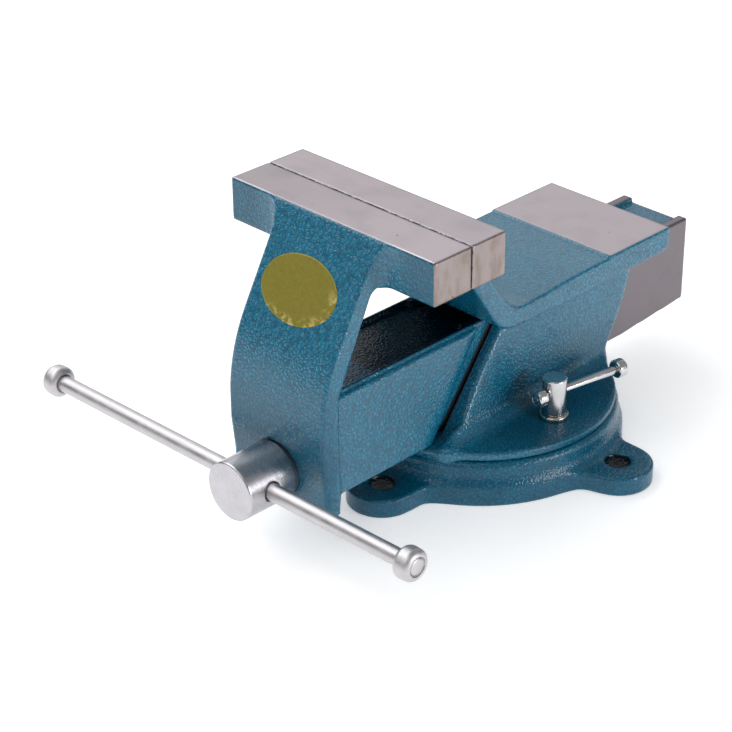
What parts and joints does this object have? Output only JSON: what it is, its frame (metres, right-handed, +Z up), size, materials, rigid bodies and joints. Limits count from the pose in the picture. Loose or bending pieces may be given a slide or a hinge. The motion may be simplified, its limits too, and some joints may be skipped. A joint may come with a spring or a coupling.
{
  "type": "bench vise",
  "caption": "Swivel-base bench vise with wide flat jaws, a curved front plate, a long slide, an anvil table, a sliding tommy bar and locking bolts on the base.",
  "frame": {"origin": "on the swivel axis, at the level of the base's mounting face (z = 0)", "axes": "+Y runs from the handle end towards the anvil end along the screw, +X is to the right for a user at the handle, +Z is up, normal to the bench"},
  "size_m": [0.2902, 0.3493, 0.1744],
  "materials": {
    "hammered_paint": "glossy hammered paint on cast iron, with bare ground jaw faces, anvil and slide",
    "machined_steel": "turned steel",
    "polished_steel": "polished steel",
    "cast_iron": "as cast, machined bore",
    "gold_foil": "wrinkled gold foil label"
  },
  "bodies": {
    "base": {"swivel_base": "hammered_paint"},
    "body": {"vise_body": "hammered_paint", "screw_nut": "cast_iron", "nut_bolt": "machined_steel", "nut_washer": "machined_steel", "lock_nut_right": "machined_steel", "lock_nut_left": "machined_steel", "lock_washer_right": "polished_steel", "lock_washer_left": "polished_steel"},
    "jaw": {"moving_jaw": "hammered_paint", "label": "gold_foil", "thrust_washer": "machined_steel"},
    "screw": {"lead_screw": "machined_steel", "retaining_collar": "machined_steel", "collar_pin": "machined_steel"},
    "handle": {"handle_bar": "polished_steel", "handle_cap_left": "polished_steel", "handle_cap_right": "polished_steel"},
    "lock_right": {"lock_bolt_right": "polished_steel"},
    "lock_left": {"lock_bolt_left": "polished_steel"},
    "lock_handle_right": {"lock_bar_right": "polished_steel", "lock_cap_right_near": "polished_steel", "lock_cap_right_far": "polished_steel"},
    "lock_handle_left": {"lock_bar_left": "polished_steel", "lock_cap_left_near": "polished_steel", "lock_cap_left_far": "polished_steel"}
  },
  "joints": [
    {"name": "swivel_turn", "type": "hinge", "parent": "base", "child": "body", "pos_m": [0, 0, 0], "axis": [0, 0, 1], "continuous": true},
    {"name": "jaw_slide", "type": "slide", "parent": "body", "child": "jaw", "axis": [0, -1, 0], "range_m": [0, 0.15]},
    {"name": "screw_turn", "type": "hinge", "parent": "jaw", "child": "screw", "pos_m": [0, -0.175, 0.0426], "axis": [0, -1, 0], "range_deg": [0, 10801]},
    {"name": "handle_slide", "type": "slide", "parent": "screw", "child": "handle", "axis": [0.9997, 0, 0.0227], "range_m": [-0.092, 0.139]},
    {"name": "lock_turn_right", "type": "hinge", "parent": "body", "child": "lock_right", "pos_m": [0.0565, 0.0016, 0.046], "axis": [0, 0, 1], "range_deg": [-161, 0]},
    {"name": "lock_turn_left", "type": "hinge", "parent": "body", "child": "lock_left", "pos_m": [-0.0565, 0.0016, 0.046], "axis": [0, 0, 1], "range_deg": [0, 161]},
    {"name": "lock_bar_slide_right", "type": "slide", "parent": "lock_right", "child": "lock_handle_right", "axis": [0.1633, 0.9866, 0], "range_m": [-0.0365, 0]},
    {"name": "lock_bar_slide_left", "type": "slide", "parent": "lock_left", "child": "lock_handle_left", "axis": [-0.1633, 0.9866, 0], "range_m": [-0.0365, 0]}
  ],
  "couplings": [
    {"joint": "screw_turn", "follows": "jaw_slide", "rad_per_m": 1256.6}
  ]
}
